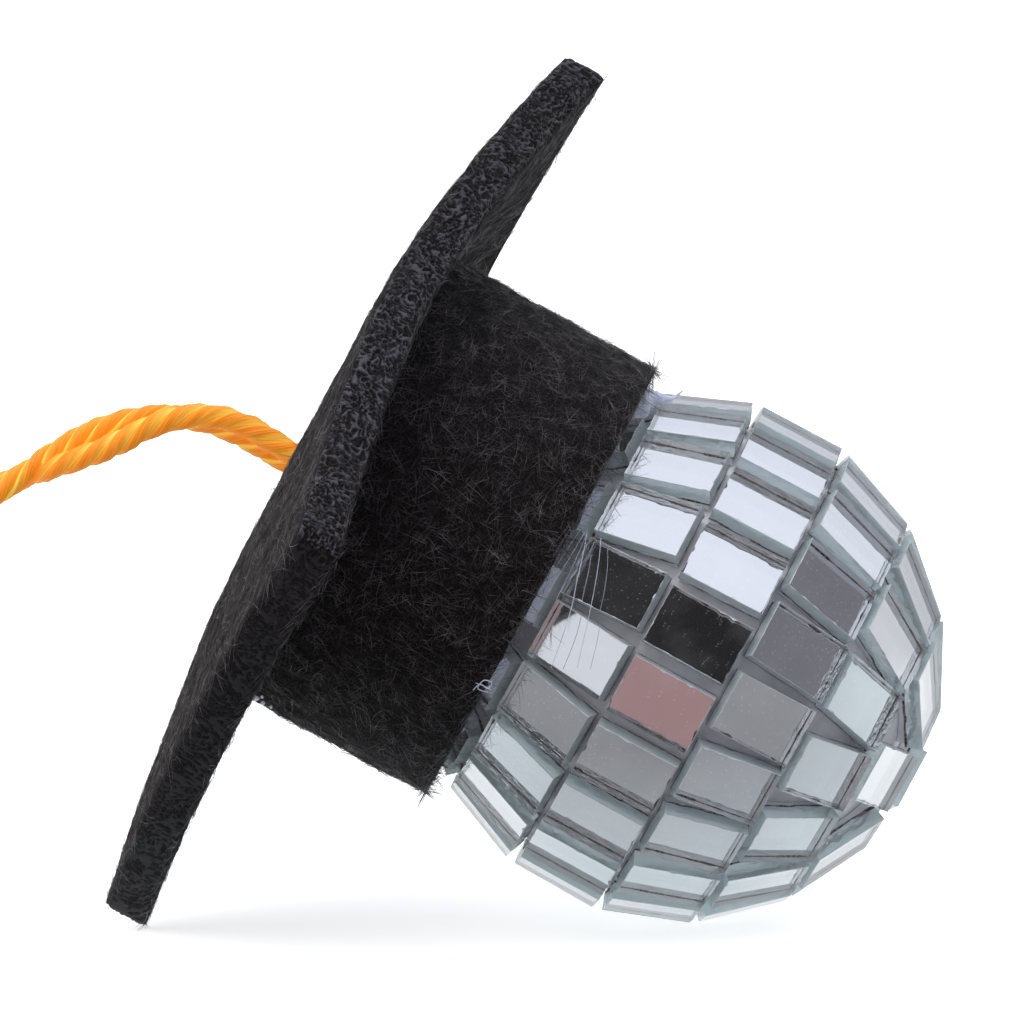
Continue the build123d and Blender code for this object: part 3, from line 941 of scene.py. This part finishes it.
for k in range(steps - 1):
    for j in range(SIDES):
        i = (j + 1) % SIDES
        faces.append((k * SIDES + j, k * SIDES + i, (k + 1) * SIDES + i, (k + 1) * SIDES + j))
        uvs += [(even[k] / MM, j / SIDES), (even[k] / MM, (j + 1) / SIDES), (even[k + 1] / MM, (j + 1) / SIDES), (even[k + 1] / MM, j / SIDES)]
faces.append(tuple(reversed(range(SIDES))))
faces.append(tuple((steps - 1) * SIDES + j for j in range(SIDES)))
uvs += [(0, 0)] * (2 * SIDES)

golden, tree, bsdf = new_material("golden_cord")
bsdf.inputs["Roughness"].default_value = 0.42
bsdf.inputs["Sheen Weight"].default_value = 0.3
bsdf.inputs["Sheen Tint"].default_value = (1.0, 0.75, 0.25, 1)
bsdf.inputs["Subsurface Weight"].default_value = 0.25
bsdf.inputs["Subsurface Radius"].default_value = (1.0, 0.35, 0.05)
bsdf.inputs["Subsurface Scale"].default_value = 0.0006
uv = tree.nodes.new("ShaderNodeUVMap")
lie = tree.nodes.new("ShaderNodeMapping")
lie.inputs["Scale"].default_value = (0.3, 60.0, 1.0)
strands = tree.nodes.new("ShaderNodeTexNoise")
strands.inputs["Scale"].default_value = 1.0
strands.inputs["Detail"].default_value = 3
tint = tree.nodes.new("ShaderNodeValToRGB")
tint.color_ramp.elements[0].position = 0.3
tint.color_ramp.elements[0].color = (1.0, 0.17, 0.002, 1)
tint.color_ramp.elements[1].position = 0.7
tint.color_ramp.elements[1].color = (1.0, 0.42, 0.015, 1)
bump = tree.nodes.new("ShaderNodeBump")
bump.inputs["Strength"].default_value = 0.7
bump.inputs["Distance"].default_value = 0.00006
tree.links.new(uv.outputs["UV"], lie.inputs["Vector"])
tree.links.new(lie.outputs["Vector"], strands.inputs["Vector"])
tree.links.new(strands.outputs["Fac"], tint.inputs["Fac"])
across_ply = tree.nodes.new("ShaderNodeSeparateXYZ")
tree.links.new(uv.outputs["UV"], across_ply.inputs["Vector"])
ply = tree.nodes.new("ShaderNodeMath")
ply.operation = "MULTIPLY"
ply.inputs[1].default_value = 3.0
tree.links.new(across_ply.outputs["Y"], ply.inputs[0])
within = tree.nodes.new("ShaderNodeMath")
within.operation = "FRACT"
tree.links.new(ply.outputs[0], within.inputs[0])
# Pale yellow stripes along each ply beside the groove: painted highlights.
glow = tree.nodes.new("ShaderNodeValToRGB")
glow.color_ramp.elements[0].position = 0.0
glow.color_ramp.elements[0].color = (0.85, 0.85, 0.85, 1)
glow.color_ramp.elements[1].position = 1.0
glow.color_ramp.elements[1].color = (0.0, 0.0, 0.0, 1)
for spot, level in ((0.07, 1.0), (0.22, 0.25), (0.6, 0.0), (0.9, 0.15)):
    stop = glow.color_ramp.elements.new(spot)
    stop.color = (level, level, level, 1)
tree.links.new(within.outputs[0], glow.inputs["Fac"])
ply_highlight = tree.nodes.new("ShaderNodeMix")
ply_highlight.data_type = "RGBA"
ply_highlight.inputs["B"].default_value = (1.0, 0.70, 0.10, 1)
tree.links.new(glow.outputs["Color"], ply_highlight.inputs["Factor"])
tree.links.new(tint.outputs["Color"], ply_highlight.inputs["A"])
tree.links.new(ply_highlight.outputs["Result"], bsdf.inputs["Base Color"])
# The cord glows by emission in its own colour, highlights included: painted light.
tree.links.new(ply_highlight.outputs["Result"], bsdf.inputs["Emission Color"])
bsdf.inputs["Emission Strength"].default_value = 0.36
tree.links.new(strands.outputs["Fac"], bump.inputs["Height"])
tree.links.new(bump.outputs["Normal"], bsdf.inputs["Normal"])

mesh = bpy.data.meshes.new("hanging_cord_strands")
mesh.from_pydata(verts, [], faces)
mesh.materials.append(golden)
mesh.polygons.foreach_set("use_smooth", [True] * len(mesh.polygons))
layer = mesh.uv_layers.new(name="UVMap")
layer.data.foreach_set("uv", [x for pair in uvs for x in pair])
cord = bpy.data.objects.new("hanging_cord_strands", mesh)
scene.collection.objects.link(cord)
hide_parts("hanging_cord")
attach(cord, "cord")
knot_object = nodes["cord_knot"]
knot_object.data.materials.clear()
knot_object.data.materials.append(golden)

# ---------------------------------------------------------------- studio
# A pale table and a soft light tent, with the dark camera side and a grey wall on the right.
floor_mesh = bpy.data.meshes.new("table")
floor_mesh.from_pydata([(-3, -3, 0), (3, -3, 0), (3, 4, 0), (-3, 4, 0)], [], [(0, 1, 2, 3)])
floor = bpy.data.objects.new("table", floor_mesh)
scene.collection.objects.link(floor)
# The table looks white to the camera. To everything else it glows as a gradient that darkens towards the front: painted
# shade in place of the shadow round the ball, which the lower tiles show.
table, tree, bsdf = new_material("table_paper")
bsdf.inputs["Base Color"].default_value = (0.9, 0.9, 0.9, 1)
bsdf.inputs["Roughness"].default_value = 0.9
bsdf.inputs["Specular IOR Level"].default_value = 0.1
bsdf.inputs["Emission Color"].default_value = (1, 1, 1, 1)
bsdf.inputs["Emission Strength"].default_value = 0.66
place = tree.nodes.new("ShaderNodeTexCoord")
apart = tree.nodes.new("ShaderNodeSeparateXYZ")
front = tree.nodes.new("ShaderNodeMapRange")
front.inputs["From Min"].default_value = -0.035
front.inputs["From Max"].default_value = 0.010
shade = tree.nodes.new("ShaderNodeValToRGB")
shade.color_ramp.elements[0].position = 0.0
shade.color_ramp.elements[0].color = (0.27, 0.27, 0.29, 1)
shade.color_ramp.elements[1].position = 1.0
shade.color_ramp.elements[1].color = (0.95, 0.97, 1.0, 1)
for spot, tone in ((0.2, (0.25, 0.25, 0.265, 1)), (0.45, (0.42, 0.45, 0.48, 1)), (0.65, (0.66, 0.72, 0.76, 1)), (0.72, (0.88, 0.91, 0.94, 1))):
    stop = shade.color_ramp.elements.new(spot)
    stop.color = tone
glow = tree.nodes.new("ShaderNodeEmission")
path_kind = tree.nodes.new("ShaderNodeLightPath")
blend_in = tree.nodes.new("ShaderNodeMixShader")
tree.links.new(place.outputs["Object"], apart.inputs["Vector"])
tree.links.new(apart.outputs["Y"], front.inputs["Value"])
tree.links.new(front.outputs["Result"], shade.inputs["Fac"])
tree.links.new(shade.outputs["Color"], glow.inputs["Color"])
tree.links.new(path_kind.outputs["Is Camera Ray"], blend_in.inputs["Fac"])
tree.links.new(glow.outputs["Emission"], blend_in.inputs[1])
tree.links.new(bsdf.outputs["BSDF"], blend_in.inputs[2])
tree.links.new(blend_in.outputs["Shader"], tree.nodes["Material Output"].inputs["Surface"])
floor_mesh.materials.append(table)

world = bpy.data.worlds.new("tent")
scene.world = world
world.use_nodes = True
tree = world.node_tree
background = tree.nodes["Background"]
place = tree.nodes.new("ShaderNodeTexCoord")
apart = tree.nodes.new("ShaderNodeSeparateXYZ")
tree.links.new(place.outputs["Generated"], apart.inputs["Vector"])
sky = tree.nodes.new("ShaderNodeValToRGB")
sky.color_ramp.elements[0].position = 0.0
sky.color_ramp.elements[0].color = (0.62, 0.63, 0.66, 1)
sky.color_ramp.elements[1].position = 0.6
sky.color_ramp.elements[1].color = (0.80, 0.83, 0.93, 1)
tree.links.new(apart.outputs["Z"], sky.inputs["Fac"])
colour = sky.outputs["Color"]
for direction, inner, outer, shade in (
    ((0.12, -0.93, 0.33), 13, 19, (0.012, 0.011, 0.013, 1)),
    ((-0.18, -0.82, 0.53), 13, 19, (0.012, 0.011, 0.013, 1)),
    ((-0.47, -0.65, 0.60), 14, 20, (0.014, 0.013, 0.015, 1)),
    ((0.88, -0.34, 0.28), 17, 34, (0.165, 0.16, 0.185, 1)),
):
    towards = Vector(direction).normalized()
    dot = tree.nodes.new("ShaderNodeVectorMath")
    dot.operation = "DOT_PRODUCT"
    dot.inputs[1].default_value = towards
    tree.links.new(place.outputs["Generated"], dot.inputs[0])
    edge = tree.nodes.new("ShaderNodeMapRange")
    edge.interpolation_type = "SMOOTHSTEP"
    edge.inputs["From Min"].default_value = math.cos(math.radians(outer))
    edge.inputs["From Max"].default_value = math.cos(math.radians(inner))
    tree.links.new(dot.outputs["Value"], edge.inputs["Value"])
    mix = tree.nodes.new("ShaderNodeMix")
    mix.data_type = "RGBA"
    mix.inputs["B"].default_value = shade
    tree.links.new(edge.outputs["Result"], mix.inputs["Factor"])
    tree.links.new(colour, mix.inputs["A"])
    colour = mix.outputs["Result"]
tree.links.new(colour, background.inputs["Color"])
background.inputs["Strength"].default_value = 1.0


# A soft sun whitens the table; the mirrors and the glass do not see it.
sun_data = bpy.data.lights.new("soft_sun", "SUN")
sun_data.energy = 1.3
sun_data.angle = math.radians(70)
sun_data.color = (1.0, 0.985, 0.97)
sun = bpy.data.objects.new("soft_sun", sun_data)
sun.rotation_euler = Vector((-0.25, -0.35, 0.9)).to_track_quat("Z", "Y").to_euler()
sun.visible_glossy = False
sun.visible_transmission = False
scene.collection.objects.link(sun)

# Two paper cards lie on the table in front, outside the picture: some tiles show them.
for name, low, high, tone in (
    ("front_card", (-0.09, -0.42), (0.012, -0.06), (0.32, 0.185, 0.175, 1)),
    ("right_card", (0.016, -0.42), (0.25, -0.06), (0.32, 0.32, 0.38, 1)),
):
    card_mesh = bpy.data.meshes.new(name)
    card_mesh.from_pydata([(low[0], low[1], 0.001), (high[0], low[1], 0.001), (high[0], high[1], 0.001), (low[0], high[1], 0.001)], [], [(0, 1, 2, 3)])
    card = bpy.data.objects.new(name, card_mesh)
    scene.collection.objects.link(card)
    paper, tree, bsdf = new_material(name + "_paper")
    bsdf.inputs["Base Color"].default_value = tone
    bsdf.inputs["Roughness"].default_value = 0.9
    card_mesh.materials.append(paper)

# ---------------------------------------------------------------- camera
# A long lens close to the table's height, level with the ball.
camera_data = bpy.data.cameras.new("camera")
camera_data.sensor_width = 36.0
camera_data.lens = 288.44
camera_data.clip_start = 0.05
camera_data.clip_end = 20
camera = bpy.data.objects.new("camera", camera_data)
scene.collection.objects.link(camera)
scene.camera = camera
right = Vector((0.99832, 0.05209, -0.0252)).normalized()
up = Vector((0.01958, 0.10558, 0.99422)).normalized()
back = right.cross(up).normalized()
up = back.cross(right)
turn = Matrix((right, up, back)).transposed().to_4x4()
camera.matrix_world = Matrix.Translation((0.026846, -0.497794, 0.07767)) @ turn

scene.view_settings.view_transform = "Standard"
scene.view_settings.look = "None"
scene.view_settings.exposure = 0.0
scene.cycles.max_bounces = 16
scene.cycles.transmission_bounces = 14
scene.cycles.glossy_bounces = 10
scene.cycles.diffuse_bounces = 4

bpy.context.view_layer.update()
